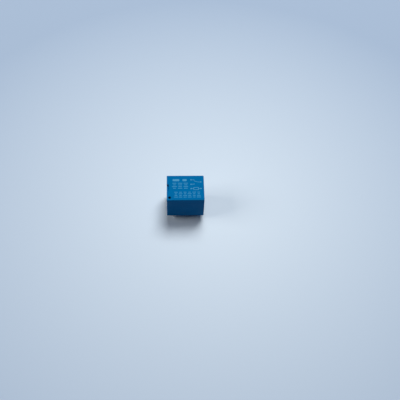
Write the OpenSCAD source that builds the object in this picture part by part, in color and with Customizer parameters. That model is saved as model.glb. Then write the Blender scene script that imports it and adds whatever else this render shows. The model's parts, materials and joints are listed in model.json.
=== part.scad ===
// Miniature sealed power relay for a circuit board.
// A moulded case stands over a coil, a hinged armature and one change-over contact.
// Millimetres. The origin is the middle of the case's rim, on the board, with +Z up.
// +X is the end with the hinge, -X the end with the contacts, and -Y the front.

/* [Case] */
// Length of the case, from its contact end to its hinge end
case_length = 19; // [18.6:0.1:24]
// Width of the case, front to rear
case_width = 15.4; // [15:0.1:20]
// Height of the case above the board
case_height = 14.2; // [13.4:0.1:20]
// Thickness of the case's side walls
wall = 0.8; // [0.7:0.05:1]
// Thickness of the case's roof
roof = 1; // [0.8:0.05:1.4]
// Step in the side walls that the base plate seats against
base_step = 0.2; // [0.1:0.05:0.3]
// Radius of the case's outer edges
edge_radius = 0.4; // [0.2:0.05:0.6]
// Radius of the case's inner corners and of the base
inner_radius = 0.3; // [0.1:0.05:0.5]
// Diameter of the vent hole in the roof
vent_diameter = 1.4; // [0.8:0.1:1.6]
// Distance of the vent from the contact end of the case
vent_inset_end = 1.45; // [1.4:0.05:2.4]
// Distance of the vent from the front of the case
vent_inset_front = 1.65; // [1.5:0.05:2.4]
// Length of the moulding notch in the roof's edge at the contact end
notch_length = 4.4; // [3:0.1:6]
// How far the notch reaches in from the edge
notch_reach = 1.1; // [0.6:0.1:1.2]
// Depth of the notch below the roof
notch_depth = 1.3; // [0.4:0.1:1.4]
// Radius of the notch's corners
notch_corner = 0.5; // [0.2:0.1:0.7]
// Wall that the case keeps round the notch, inside
notch_wall = 0.5; // [0.4:0.05:0.6]

/* [Pins] */
// Length of the pins below the board's face
pin_length = 3.6; // [2.5:0.1:6]
// Distance of the coil and contact pins from the case's long sides
side_inset = 1.7; // [1.6:0.05:1.9]
// Distance of the contact pins from the contact end of the case
contact_inset = 3.4; // [3.2:0.05:3.6]
// Distance from the common pin to the coil pins, along the case
coil_pin_offset = 2; // [1.8:0.1:2.6]
// Diameter of a coil pin
coil_pin_diameter = 0.6; // [0.5:0.05:0.7]
// Width of the square stem of a coil pin inside the case
coil_stem_width = 0.5; // [0.35:0.05:0.6]
// Width of a contact pin's blade
blade_width = 1; // [0.7:0.05:1.4]
// Thickness of the contact terminals' sheet
blade_thickness = 0.4; // [0.3:0.05:0.5]
// Length of the bevelled pin tips
pin_tip = 0.4; // [0.2:0.05:0.8]

/* [Base] */
// Thickness of the base plate
base_thickness = 1.2; // [1:0.1:1.6]
// Thickness of the resin seal under the base
seal_thickness = 0.5; // [0.3:0.05:0.8]
// How far the seal lies above the case's rim
seal_recess = 0.2; // [0.1:0.05:0.4]
// Height of the posts that hold the contact terminals
post_height = 3.2; // [1:0.1:5]
// Wall of a post around its terminal
post_wall = 0.6; // [0.4:0.05:0.8]
// Width of the rails beside the yoke's foot
rail_width = 0.5; // [0.3:0.05:0.8]

/* [Coil] */
// Diameter of the core
core_diameter = 4; // [3:0.1:4.6]
// Diameter of the core's neck in the yoke
neck_diameter = 3; // [2:0.1:3.4]
// Diameter of the staked end under the yoke
stake_diameter = 3.8; // [3.6:0.1:4.4]
// Height of the staked end
stake_height = 0.4; // [0.2:0.05:0.6]
// Diameter of the pole head
pole_diameter = 7; // [5.4:0.1:8]
// Thickness of the pole head
pole_thickness = 0.6; // [0.4:0.05:1]
// Wall of the bobbin's barrel
barrel_wall = 0.6; // [0.4:0.05:0.8]
// Thickness of the bobbin's flanges
flange_thickness = 0.65; // [0.5:0.05:0.9]
// How far the flanges stand out past the winding
flange_lip = 0.15; // [0.1:0.05:0.3]
// Radius of the flanges' corners
flange_radius = 1.2; // [0.5:0.1:2]
// Space between the base's barrier and the bobbin's flanges
barrier_gap = 0.65; // [0.2:0.05:1]
// Pitch of the ridges that the layers of wire leave on the winding
ridge_pitch = 0.25; // [0.2:0.01:0.5]
// Depth of those ridges
ridge_depth = 0.06; // [0.03:0.01:0.1]
// Diameter of the wire ends
lead_diameter = 0.16; // [0.1:0.01:0.24]
// Turns of wire around each coil pin's stem
lead_turns = 4; // [2:1:5]
// Length of the bobbin's ears along the case
ear_length = 1.7; // [1.3:0.05:2]
// Least wall of an ear between the pin's stem and the yoke
ear_wall = 0.4; // [0.3:0.05:0.8]
// Height of the bobbin's ears above the base
ear_height = 3; // [2.2:0.1:4]
// Height of the soldered stem above the turns of wire
solder_height = 0.4; // [0.2:0.05:0.8]

/* [Magnet frame] */
// Thickness of the yoke
yoke_thickness = 1.1; // [0.9:0.05:1.3]
// How far the yoke stands out past the winding, on each side
yoke_margin = 0.2; // [0.1:0.05:0.3]
// Inner radius of the yoke's bend
yoke_bend = 0.3; // [0.2:0.05:0.6]
// Radius of the corners at the end of the yoke's foot
foot_radius = 3; // [1:0.1:4]
// Space between the winding and the yoke's upright
coil_gap = 0.65; // [0.5:0.05:0.8]
// Width of the yoke's two guides beside the armature
guide_width = 0.5; // [0.3:0.05:0.6]
// Height of those guides
guide_height = 0.7; // [0.4:0.05:1]
// Thickness of the armature
armature_thickness = 1; // [0.9:0.05:1.3]
// Radius of the armature's edge that rocks on the yoke
hinge_radius = 0.25; // [0.2:0.01:0.3]
// Radius of the armature's edge inside the leaf's bend
heel_radius = 0.45; // [0.4:0.01:0.5]
// How far the armature reaches past the pole
armature_lip = 0.3; // [0.1:0.05:0.6]
// Radius of the armature's front corners
armature_radius = 1.4; // [0.5:0.1:2]
// Angle by which the released armature is lifted off the pole
armature_lift = 2; // [1.5:0.1:2.8]

/* [Contacts] */
// Thickness of the leaf spring
leaf_thickness = 0.15; // [0.1:0.01:0.2]
// How far the leaf spring lies inside the armature's sides
leaf_margin = 0.7; // [0.4:0.05:1.2]
// Inner radius of the leaf's bend
leaf_bend = 0.5; // [0.45:0.01:0.6]
// Width of the window in the leaf's bend
leaf_window = 2.4; // [1:0.1:3]
// How far the window reaches down and along from the bend
window_reach = 1.6; // [1:0.1:2]
// Diameter of the contact heads
contact_diameter = 2.6; // [2:0.1:3]
// Height of the contact heads
contact_head = 0.45; // [0.35:0.05:0.6]
// Radius of the contacts' domed faces
contact_dome = 6; // [4:0.5:10]
// Diameter of the contacts' shanks
contact_shank = 1.5; // [1:0.1:1.8]
// Diameter of the fixed contacts' riveted tails
tail_diameter = 2; // [1.9:0.1:2.4]
// Height of the fixed contacts' riveted tails
tail_height = 0.15; // [0.1:0.01:0.25]
// Rim of sheet around a contact
contact_rim = 0.2; // [0.1:0.05:0.3]
// Inner radius of the fixed terminals' bends
terminal_bend = 0.5; // [0.3:0.05:0.8]

/* [Rivets] */
// Diameter of the rivets' shanks
rivet_diameter = 1; // [0.8:0.05:1.2]
// Diameter of the rivets' heads
rivet_head_diameter = 1.8; // [1.5:0.1:2]
// Height of the rivets' heads
rivet_head = 0.25; // [0.15:0.01:0.3]
// Spacing of a pair of rivets
rivet_spacing = 3.4; // [3:0.1:4]
// Height of the yoke's rivets above the base
rivet_rise = 4.2; // [3.8:0.1:4.6]
// Sheet around a rivet, from its centre to the edge
rivet_edge = 1.2; // [1.1:0.05:1.4]

/* [Fits] */
// Clearance of a close fit, on each side
fit = 0.03; // [0.02:0.01:0.05]
// Space between neighbouring pieces that don't touch
part_gap = 0.1; // [0.06:0.01:0.12]
// Space between the common terminal's rivets and the case
end_gap = 0.15; // [0.1:0.01:0.2]
// Air left between faces that close on each other
closing_gap = 0.03; // [0.02:0.01:0.05]

/* [Hidden] */
$fn = 64;

// Half sizes and radii
half_length = case_length / 2;
half_width = case_width / 2;
cavity_x = half_length - wall;
cavity_y = half_width - wall;
seat_x = cavity_x + base_step;
seat_y = cavity_y + base_step;
core_r = core_diameter / 2;
pole_r = pole_diameter / 2;
barrel_r = core_r + fit + barrel_wall;
lead_r = lead_diameter / 2;
contact_r = contact_diameter / 2;
strip_half = contact_r + contact_rim;
rivet_y = rivet_spacing / 2;
heel_r = max(heel_radius, leaf_bend - part_gap);

// Places along the case, and the coil in the room that the pins and the barrier leave
y_pin = half_width - side_inset;
x_common = cavity_x - end_gap - rivet_head - blade_thickness / 2;
x_coil_pin = x_common - coil_pin_offset;
x_contact = contact_inset - half_length;
x_yoke_out = x_common - blade_thickness / 2 - leaf_thickness;
x_yoke_in = x_yoke_out - yoke_thickness;
x_post_end = x_contact + strip_half + post_wall;
coil_room = x_yoke_in - coil_gap - (x_post_end + barrier_gap + flange_lip);
yoke_room = y_pin - coil_stem_width / 2 - ear_wall - part_gap;
winding_r = min(coil_room / 2, yoke_room - yoke_margin);
x_coil = x_yoke_in - coil_gap - winding_r;
x_flange_end = x_coil - winding_r - flange_lip;
x_flange_near = x_yoke_in - yoke_bend - part_gap;
x_armature_heel = x_yoke_out - part_gap;
x_hinge = x_armature_heel - hinge_radius;
x_armature_front = x_coil - pole_r - armature_lip;

// Widths, from the winding out to the yoke and in to the leaf
yoke_half = winding_r + yoke_margin;
armature_half = yoke_half - guide_width - part_gap;
leaf_half = armature_half - leaf_margin;

// Heights, from the board up to the floor that the coil stands on
z_seal_top = seal_recess + seal_thickness;
z_floor = z_seal_top + base_thickness;
z_foot_top = z_floor + yoke_thickness;
z_winding = z_foot_top + flange_thickness;
z_ear_top = z_floor + ear_height;
z_rivet = z_floor + rivet_rise;

// Heights, from the roof down through the contacts to the pole
z_roof = case_height - roof;
z_closed_arm = z_roof - part_gap - tail_height - blade_thickness;
z_closed_face = z_closed_arm - contact_head;
contact_arm = x_hinge - x_contact;
dome_drop = armature_thickness + leaf_thickness + contact_head - contact_dome - hinge_radius;
z_armature = z_closed_face - closing_gap - hinge_radius - contact_arm * sin(armature_lift)
    - dome_drop * cos(armature_lift) - contact_dome;
z_hinge = z_armature + hinge_radius;
z_pole = z_armature - closing_gap;
z_upper_flange = z_pole - pole_thickness - flange_thickness;
winding_height = z_upper_flange - z_winding;
z_leaf = z_armature + armature_thickness;
z_open_arm = z_leaf - contact_head - closing_gap - contact_head - blade_thickness;

// Centre of the leaf's bend, and where its free arm starts before it is lifted
bend_x = x_yoke_out - leaf_bend;
bend_z = z_hinge + (armature_thickness - hinge_radius - leaf_bend
    - (bend_x - x_hinge) * sin(armature_lift)) / cos(armature_lift);
leaf_start = x_hinge + (bend_x - x_hinge) * cos(armature_lift)
    - (bend_z - z_hinge) * sin(armature_lift);

// Wire ends: a straight line that touches the winding and the turns on the pin's stem
stem_reach = coil_stem_width / sqrt(2) + fit;
turn_r = stem_reach + lead_r;
wind_line_r = winding_r + fit + lead_r;
lead_span = norm([x_coil_pin - x_coil, y_pin]);
lead_turn = atan2(y_pin, x_coil_pin - x_coil) + acos((wind_line_r - turn_r) / lead_span);
lead_length = sqrt(pow(lead_span, 2) - pow(wind_line_r - turn_r, 2));
z_turns = z_ear_top + fit;
z_solder = z_turns + lead_turns * lead_diameter;
z_stem_top = z_solder + solder_height;

// Length of a cutting tool past the faces that it cuts
cut = 1;

// Rectangle from corner low to corner high, with round corners
module round_rect(low, high, r) {
    size = high - low;
    translate(low + [r, 0])
        square([size[0] - 2 * r, size[1]]);
    translate(low + [0, r])
        square([size[0], size[1] - 2 * r]);
    for (x = [low[0] + r, high[0] - r], y = [low[1] + r, high[1] - r])
        translate([x, y])
            circle(r);
}

// Ring sector from the first axis through an angle of at most 90 degrees
module bend_sector(r, thickness, angle) {
    reach = 2 * (r + thickness);
    intersection() {
        difference() {
            circle(r + thickness);
            circle(r);
        }
        polygon([[0, 0], [reach, 0], [reach, reach], reach * [cos(angle), sin(angle)]]);
    }
}

// Outline drawn in X and Z, given a thickness along Y
module across(thickness) {
    rotate([90, 0, 0])
        linear_extrude(thickness, center = true)
            children();
}

// Outline drawn in Y and Z, given a thickness along X
module along(thickness) {
    rotate([90, 0, 90])
        linear_extrude(thickness, center = true)
            children();
}

// Plate between two heights
module plate(low, high) {
    translate([0, 0, low])
        linear_extrude(high - low)
            children();
}

// The lifted position of what is drawn as if the armature lay on the pole
module lifted() {
    translate([x_hinge, 0, z_hinge])
        rotate([0, armature_lift, 0])
            translate([-x_hinge, 0, -z_hinge])
                children();
}

// Both sides of the case, front and rear
module both_sides() {
    children();
    mirror([0, 1, 0])
        children();
}

// Domed contact head that stands on the plane z = 0
module domed_head() {
    intersection() {
        cylinder(r = contact_r, h = contact_head);
        translate([0, 0, contact_head - contact_dome])
            sphere(contact_dome, $fn = 180);
    }
}

// Rivet for a fixed contact: a domed head below a sheet and a flat tail above it
module fixed_rivet() {
    mirror([0, 0, 1])
        domed_head();
    cylinder(d = contact_shank, h = blade_thickness);
    translate([0, 0, blade_thickness])
        cylinder(d = tail_diameter, h = tail_height);
}

// Outline of a pin's blade with a bevelled tip, from its tip up to the base
module blade_outline() {
    half = blade_width / 2;
    tip = half / 2;
    polygon([
        [-tip, -pin_length], [tip, -pin_length], [half, pin_tip - pin_length],
        [half, z_floor], [-half, z_floor], [-half, pin_tip - pin_length]
    ]);
}

// Holes for the square stems of the coil pins
module stem_holes() {
    both_sides()
        translate([x_coil_pin, y_pin])
            square(coil_stem_width + 2 * fit, center = true);
}

// Slots for the three blades, as far as they pass through base and seal
module blade_slots() {
    slot = [blade_width + 2 * fit, blade_thickness + 2 * fit];
    both_sides()
        translate([x_contact, y_pin])
            square(slot, center = true);
    translate([x_common, 0])
        square([slot[1], slot[0]], center = true);
}

// Case
module cover_block() {
    low = -2 * edge_radius;
    intersection() {
        plate(0, case_height)
            round_rect([-half_length, -half_width], [half_length, half_width], edge_radius);
        across(case_width)
            round_rect([-half_length, low], [half_length, case_height], edge_radius);
        along(case_length)
            round_rect([-half_width, low], [half_width, case_height], edge_radius);
    }
}

// The notch, or with a wall the lump that keeps it closed inside
module notch(around = 0) {
    side = notch_length / 2 + around;
    inner_end = notch_reach + around - half_length;
    plate(case_height - notch_depth - around, case_height + cut)
        round_rect([-half_length - notch_reach, -side], [inner_end, side], notch_corner);
}

module cover() {
    color([0.02, 0.38, 0.62])
    difference() {
        cover_block();
        difference() {
            plate(z_floor, z_roof)
                round_rect([-cavity_x, -cavity_y], [cavity_x, cavity_y], inner_radius);
            notch(notch_wall);
        }
        plate(-cut, z_floor)
            round_rect([-seat_x, -seat_y], [seat_x, seat_y], inner_radius);
        translate([vent_inset_end - half_length, vent_inset_front - half_width, z_roof - cut])
            cylinder(d = vent_diameter, h = roof + 2 * cut);
        notch();
    }
}

// Base
module base_outline() {
    round_rect([fit - seat_x, fit - seat_y], [seat_x - fit, seat_y - fit], inner_radius);
}

module terminal_post() {
    inner = y_pin - blade_thickness / 2 - post_wall;
    low = [x_contact - strip_half - post_wall, inner];
    slot = [2 * (strip_half + fit), blade_thickness + 2 * fit];
    plate(z_floor, z_floor + post_height)
        difference() {
            translate(low)
                square([x_post_end - low[0], cavity_y - part_gap - inner]);
            translate([x_contact, y_pin])
                square(slot, center = true);
        }
}

module barrier() {
    low = x_contact + strip_half + part_gap;
    reach = cavity_y - part_gap;
    plate(z_floor, z_upper_flange)
        translate([low, -reach])
            square([x_post_end - low, 2 * reach]);
}

module yoke_rail() {
    start = x_coil - core_r;
    end = x_coil_pin - ear_length / 2 - part_gap;
    plate(z_floor, z_foot_top - part_gap)
        translate([start, yoke_half + fit])
            square([end - start, rail_width]);
}

module base() {
    color([0.05, 0.07, 0.1])
    difference() {
        union() {
            plate(z_seal_top, z_floor)
                base_outline();
            both_sides() {
                terminal_post();
                yoke_rail();
            }
            barrier();
        }
        plate(z_seal_top - cut, z_floor + fit) {
            blade_slots();
            stem_holes();
        }
        translate([x_coil, 0, z_floor - stake_height - part_gap])
            cylinder(d = stake_diameter + 2 * part_gap, h = stake_height + part_gap + cut);
    }
}

module seal() {
    color([0.06, 0.09, 0.14])
    plate(seal_recess, z_seal_top)
        difference() {
            base_outline();
            blade_slots();
            stem_holes();
        }
}

// Coil
module flange_outline() {
    reach = yoke_half + 2 * part_gap;
    round_rect([x_flange_end, -reach], [x_flange_near, reach], flange_radius);
}

module bobbin_ear() {
    inner = yoke_half + part_gap;
    root = winding_r - flange_radius;
    tongue = x_flange_near - (x_coil_pin - ear_length / 2);
    plate(z_floor, z_ear_top)
        translate([x_coil_pin - ear_length / 2, inner])
            square([ear_length, cavity_y - part_gap - inner]);
    plate(z_foot_top, z_winding)
        translate([x_coil_pin - ear_length / 2, root])
            square([tongue, inner + part_gap - root]);
}

module bobbin() {
    color([0.85, 0.82, 0.74])
    difference() {
        union() {
            plate(z_foot_top, z_winding)
                flange_outline();
            plate(z_winding, z_upper_flange)
                translate([x_coil, 0])
                    circle(barrel_r);
            plate(z_upper_flange, z_upper_flange + flange_thickness)
                flange_outline();
            both_sides()
                bobbin_ear();
        }
        plate(z_foot_top - cut, z_pole)
            translate([x_coil, 0])
                circle(core_r + fit);
        plate(z_floor - cut, z_ear_top + cut)
            stem_holes();
    }
}

module winding() {
    ridges = floor(winding_height / ridge_pitch);
    pitch = winding_height / ridges;
    groove_r = winding_r - ridge_depth;
    color([0.62, 0.3, 0.14])
    translate([x_coil, 0, z_winding])
        rotate_extrude()
            polygon(concat(
                [[groove_r, winding_height], [barrel_r + fit, winding_height]],
                [[barrel_r + fit, 0]],
                [for (i = [0 : ridges - 1]) each [
                    [groove_r, i * pitch],
                    [winding_r, (i + 0.25) * pitch],
                    [winding_r, (i + 0.75) * pitch]
                ]]
            ));
}

module coil_lead() {
    start = [x_coil + wind_line_r * cos(lead_turn), wind_line_r * sin(lead_turn)];
    color([0.7, 0.36, 0.16]) {
        translate([start[0], start[1], z_turns + lead_r])
            rotate([0, 90, lead_turn - 90])
                cylinder(d = lead_diameter, h = lead_length);
        translate([x_coil_pin, y_pin, z_turns])
            rotate_extrude()
                polygon(concat(
                    [[stem_reach, lead_turns * lead_diameter], [stem_reach, 0]],
                    [for (i = [0 : lead_turns - 1]) each [
                        [turn_r, i * lead_diameter],
                        [turn_r + lead_r, (i + 0.3) * lead_diameter],
                        [turn_r + lead_r, (i + 0.7) * lead_diameter]
                    ]],
                    [[turn_r, lead_turns * lead_diameter]]
                ));
    }
}

module coil_lead_front() {
    mirror([0, 1, 0])
        coil_lead();
}

module coil_lead_rear() {
    coil_lead();
}

module coil_pin() {
    pin_r = coil_pin_diameter / 2;
    color([0.8, 0.8, 0.8])
    translate([x_coil_pin, y_pin, 0]) {
        plate(pin_tip - pin_length, 0)
            circle(pin_r);
        translate([0, 0, -pin_length])
            cylinder(r1 = pin_r / 2, r2 = pin_r, h = pin_tip);
        plate(0, z_stem_top)
            square(coil_stem_width, center = true);
    }
}

module coil_pin_front() {
    mirror([0, 1, 0])
        coil_pin();
}

module coil_pin_rear() {
    coil_pin();
}

module solder_joints() {
    color([0.75, 0.76, 0.78])
    both_sides()
        translate([x_coil_pin, y_pin, 0])
            difference() {
                translate([0, 0, z_solder + fit])
                    cylinder(r1 = turn_r + lead_r, r2 = stem_reach, h = solder_height + fit);
                plate(z_solder, z_stem_top + fit)
                    square(coil_stem_width + 2 * fit, center = true);
            }
}

module core() {
    color([0.62, 0.63, 0.65])
    translate([x_coil, 0, 0]) {
        plate(z_floor - stake_height, z_floor)
            circle(d = stake_diameter);
        plate(z_floor, z_foot_top)
            circle(d = neck_diameter);
        plate(z_foot_top, z_pole - pole_thickness)
            circle(core_r);
        plate(z_pole - pole_thickness, z_pole)
            circle(pole_r);
    }
}

// Magnet frame
module yoke_foot(end) {
    intersection() {
        round_rect([x_flange_end, -yoke_half], [end + 2 * foot_radius, yoke_half], foot_radius);
        translate([x_flange_end, -yoke_half])
            square([end - x_flange_end, 2 * yoke_half]);
    }
}

module yoke() {
    bend = yoke_bend + yoke_thickness;
    color([0.7, 0.71, 0.73])
    difference() {
        union() {
            plate(z_floor, z_foot_top)
                yoke_foot(x_yoke_out - bend);
            translate([x_yoke_out - bend, 0, z_floor + bend])
                mirror([0, 0, 1])
                    across(2 * yoke_half)
                        bend_sector(yoke_bend, yoke_thickness, 90);
            across(2 * yoke_half)
                translate([x_yoke_in, z_floor + bend])
                    square([yoke_thickness, z_pole - z_floor - bend]);
            both_sides()
                plate(z_pole, z_pole + guide_height)
                    translate([x_yoke_in, yoke_half - guide_width])
                        square([yoke_thickness, guide_width]);
        }
        plate(z_floor - cut, z_foot_top + cut)
            translate([x_coil, 0])
                circle(d = neck_diameter + 2 * fit);
        yoke_rivet_holes();
    }
}

// Holes for the rivets that join the yoke, the leaf and the common terminal
module yoke_rivet_holes() {
    translate([x_yoke_in, 0, 0])
        along(2 * (x_common + cut - x_yoke_in))
            for (y = [-rivet_y, rivet_y])
                translate([y, z_rivet])
                    circle(d = rivet_diameter + 2 * fit);
}

module yoke_rivets() {
    grip = x_common + blade_thickness / 2 - x_yoke_in;
    color([0.72, 0.6, 0.36])
    for (y = [-rivet_y, rivet_y])
        translate([x_yoke_in, y, z_rivet])
            rotate([0, 90, 0]) {
                translate([0, 0, -rivet_head])
                    cylinder(d = rivet_head_diameter, h = rivet_head);
                cylinder(d = rivet_diameter, h = grip);
                translate([0, 0, grip])
                    cylinder(d = rivet_head_diameter, h = rivet_head);
            }
}

// Side view of the armature lying on the pole, with its rocking edge and its heel
module armature_profile() {
    heel = x_armature_heel - heel_r;
    top = z_leaf - heel_r;
    translate([x_armature_front, z_armature])
        square([heel - x_armature_front, armature_thickness]);
    translate([heel, z_armature])
        square([x_hinge - heel, top - z_armature]);
    translate([heel, z_hinge])
        square([heel_r, top - z_hinge]);
    translate([heel, top])
        circle(heel_r);
    translate([x_hinge, z_hinge])
        circle(hinge_radius);
}

module armature_rivet_holes() {
    plate(z_armature - cut, z_leaf + leaf_thickness + cut)
        for (y = [-rivet_y, rivet_y])
            translate([x_coil, y])
                circle(d = rivet_diameter + 2 * fit);
}

module armature() {
    plan_end = x_armature_heel + armature_radius + cut;
    color([0.7, 0.71, 0.73])
    lifted()
        difference() {
            intersection() {
                across(2 * armature_half)
                    armature_profile();
                plate(z_armature - cut, z_leaf + cut)
                    round_rect([x_armature_front, -armature_half], [plan_end, armature_half],
                        armature_radius);
            }
            armature_rivet_holes();
        }
}

module armature_rivets() {
    color([0.72, 0.6, 0.36])
    lifted()
        for (y = [-rivet_y, rivet_y])
            translate([x_coil, y, 0]) {
                plate(z_armature, z_leaf + leaf_thickness)
                    circle(d = rivet_diameter);
                plate(z_leaf + leaf_thickness, z_leaf + leaf_thickness + rivet_head)
                    circle(d = rivet_head_diameter);
            }
}

// Leaf spring
module leaf_arm() {
    plate(z_leaf, z_leaf + leaf_thickness) {
        polygon([
            [leaf_start, -leaf_half], [leaf_start, leaf_half],
            [x_armature_front, leaf_half], [x_contact, strip_half],
            [x_contact, -strip_half], [x_armature_front, -leaf_half]
        ]);
        translate([x_contact, 0])
            circle(strip_half);
    }
}

module leaf_window_cut() {
    low = bend_z - window_reach;
    across(leaf_window)
        translate([bend_x - window_reach, low])
            square([window_reach + leaf_bend + leaf_thickness + cut,
                window_reach + leaf_bend + leaf_thickness + cut]);
}

module contact_spring() {
    leg_end = z_rivet - rivet_edge;
    color([0.72, 0.48, 0.24])
    difference() {
        union() {
            across(2 * leaf_half)
                translate([x_yoke_out, leg_end])
                    square([leaf_thickness, bend_z - leg_end]);
            translate([bend_x, 0, bend_z])
                across(2 * leaf_half)
                    bend_sector(leaf_bend, leaf_thickness, 90 - armature_lift);
            lifted()
                difference() {
                    leaf_arm();
                    armature_rivet_holes();
                    plate(z_leaf - cut, z_leaf + cut)
                        translate([x_contact, 0])
                            circle(d = contact_shank + 2 * fit);
                }
        }
        leaf_window_cut();
        yoke_rivet_holes();
    }
}

module moving_contact() {
    color([0.86, 0.86, 0.84])
    lifted()
        translate([x_contact, 0, z_leaf]) {
            mirror([0, 0, 1])
                domed_head();
            cylinder(d = contact_shank, h = leaf_thickness);
            translate([0, 0, leaf_thickness])
                domed_head();
        }
}

// Fixed terminals
module common_terminal() {
    half = rivet_y + rivet_edge;
    color([0.75, 0.6, 0.32])
    difference() {
        translate([x_common, 0, 0])
            along(blade_thickness) {
                blade_outline();
                translate([-half, z_floor])
                    square([2 * half, z_rivet + rivet_edge - z_floor]);
            }
        yoke_rivet_holes();
    }
}

// Terminal at the rear side, with its contact arm's lower face at a given height
module fixed_terminal(arm_low) {
    inner = y_pin - blade_thickness / 2;
    bend_y = inner - terminal_bend;
    bend_low = arm_low - terminal_bend;
    color([0.75, 0.6, 0.32])
    difference() {
        union() {
            translate([x_contact, y_pin, 0])
                across(blade_thickness)
                    blade_outline();
            translate([x_contact, 0, 0])
                along(2 * strip_half) {
                    translate([inner, z_floor])
                        square([blade_thickness, bend_low - z_floor]);
                    translate([bend_y, bend_low])
                        bend_sector(terminal_bend, blade_thickness, 90);
                }
            plate(arm_low, arm_low + blade_thickness) {
                translate([x_contact - strip_half, 0])
                    square([2 * strip_half, bend_y]);
                translate([x_contact, 0])
                    circle(strip_half);
            }
        }
        plate(arm_low - cut, arm_low + blade_thickness + cut)
            translate([x_contact, 0])
                circle(d = contact_shank + 2 * fit);
    }
}

module normally_closed_terminal() {
    fixed_terminal(z_closed_arm);
}

module normally_open_terminal() {
    mirror([0, 1, 0])
        fixed_terminal(z_open_arm);
}

module normally_closed_contact() {
    color([0.86, 0.86, 0.84])
    translate([x_contact, 0, z_closed_arm])
        fixed_rivet();
}

module normally_open_contact() {
    color([0.86, 0.86, 0.84])
    translate([x_contact, 0, z_open_arm + blade_thickness])
        mirror([0, 0, 1])
            fixed_rivet();
}

cover();
base();
seal();
bobbin();
winding();
coil_lead_front();
coil_lead_rear();
coil_pin_front();
coil_pin_rear();
solder_joints();
core();
yoke();
yoke_rivets();
common_terminal();
normally_closed_terminal();
normally_closed_contact();
normally_open_terminal();
normally_open_contact();
armature();
contact_spring();
armature_rivets();
moving_contact();
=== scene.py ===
"""Looks of a sealed power relay for a circuit board, laid out as an add-on around its packed model."""
import json
import math

import bmesh
import bpy
from bpy.props import FloatProperty, FloatVectorProperty, IntProperty, PointerProperty
from mathutils import Matrix, Vector, noise


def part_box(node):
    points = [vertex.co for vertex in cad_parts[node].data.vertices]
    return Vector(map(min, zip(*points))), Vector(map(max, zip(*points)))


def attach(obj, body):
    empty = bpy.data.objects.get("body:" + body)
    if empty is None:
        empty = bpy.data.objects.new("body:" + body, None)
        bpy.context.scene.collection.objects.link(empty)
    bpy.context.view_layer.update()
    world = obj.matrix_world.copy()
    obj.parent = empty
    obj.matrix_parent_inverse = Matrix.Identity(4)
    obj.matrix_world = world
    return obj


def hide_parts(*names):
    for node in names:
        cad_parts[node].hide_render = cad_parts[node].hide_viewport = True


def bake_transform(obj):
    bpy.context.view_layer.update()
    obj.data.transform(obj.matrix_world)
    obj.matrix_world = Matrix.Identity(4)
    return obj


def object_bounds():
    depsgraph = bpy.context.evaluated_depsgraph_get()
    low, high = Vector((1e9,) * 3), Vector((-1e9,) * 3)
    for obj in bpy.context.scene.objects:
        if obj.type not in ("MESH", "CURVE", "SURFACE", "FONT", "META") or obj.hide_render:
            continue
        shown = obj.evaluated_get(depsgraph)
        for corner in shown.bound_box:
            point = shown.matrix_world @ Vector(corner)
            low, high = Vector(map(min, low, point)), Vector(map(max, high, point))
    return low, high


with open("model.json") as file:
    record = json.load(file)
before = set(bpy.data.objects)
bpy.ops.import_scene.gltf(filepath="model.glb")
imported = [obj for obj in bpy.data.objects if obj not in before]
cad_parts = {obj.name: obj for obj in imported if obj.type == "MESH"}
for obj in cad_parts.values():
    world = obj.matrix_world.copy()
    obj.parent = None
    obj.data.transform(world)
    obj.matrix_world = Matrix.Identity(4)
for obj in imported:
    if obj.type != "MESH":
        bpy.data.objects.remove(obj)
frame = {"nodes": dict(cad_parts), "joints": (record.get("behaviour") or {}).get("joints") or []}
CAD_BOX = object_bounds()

bl_info = {
    "name": "Power relay",
    "version": (1, 0, 0),
    "blender": (4, 5, 0),
    "location": "View3D > Sidebar > Relay",
    "description": "Dresses a sealed change-over relay: case, print, resin, pins, coil and contacts",
    "category": "Mesh",
}

MM = 0.001
MICRON = 0.000001

# Tilt of the released armature, and the yoke's edge that it tips on
LIFT = math.radians(frame["joints"][0]["range_deg"][1])
HINGE = Vector(frame["joints"][0]["pos_m"])

COIL_PINS = ("coil_pin_front", "coil_pin_rear")
TERMINALS = ("common_terminal", "normally_closed_terminal", "normally_open_terminal")
CONTACTS = ("moving_contact", "normally_closed_contact", "normally_open_contact")

# Neighbouring faces up to this angle are merged into one
FLAT = math.radians(1)
# Edges past this angle are broken
SHARP = math.radians(40)
# Edges up to these angles are shaded smooth, on small pieces and on large ones
SMOOTH = math.radians(35)
SMOOTH_LARGE = math.radians(50)

# Steps in a quarter turn of a round edge and of a bead of solder
ARC_STEPS = 6
BEAD_STEPS = 10
# Points round a turned piece, a bead of solder, a printed dot and a turn of a wire end
TURNED_POINTS = 48
BEAD_POINTS = 32
DOT_POINTS = 30
LOOP_POINTS = 20

# Range that most of a noise texture's values lie in
GRAIN_LOW, GRAIN_HIGH = 0.3, 0.7


def srgb(code):
    """Scene-linear colour of a hexadecimal screen colour."""
    channels = [(code >> shift & 255) / 255 for shift in (16, 8, 0)]
    return tuple(c / 12.92 if c <= 0.04045 else ((c + 0.055) / 1.055) ** 2.4 for c in channels)


def rgba(colour):
    """Colour with full cover, as a colour socket takes it."""
    return (*colour, 1.0)


def scaled(colour, share):
    """Colour made darker or paler by a share."""
    return tuple(part * share for part in colour)


def middle(node):
    """Centre of a CAD node's box."""
    low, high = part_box(node)
    return (low + high) / 2


def half_size(node):
    """Half the size of a CAD node's box."""
    low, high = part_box(node)
    return (high - low) / 2


def points_of(node):
    """Points of a CAD node's mesh."""
    return [vert.co for vert in frame["nodes"][node].data.vertices]


def span(points):
    """Lowest and highest corner of some points."""
    axes = list(zip(*points))
    return Vector([min(axis) for axis in axes]), Vector([max(axis) for axis in axes])


def length(name, description, millimetres):
    """Length property with its default in millimetres."""
    return FloatProperty(
        name=name, description=description, default=millimetres * MM, unit="LENGTH", precision=5
    )


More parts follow.
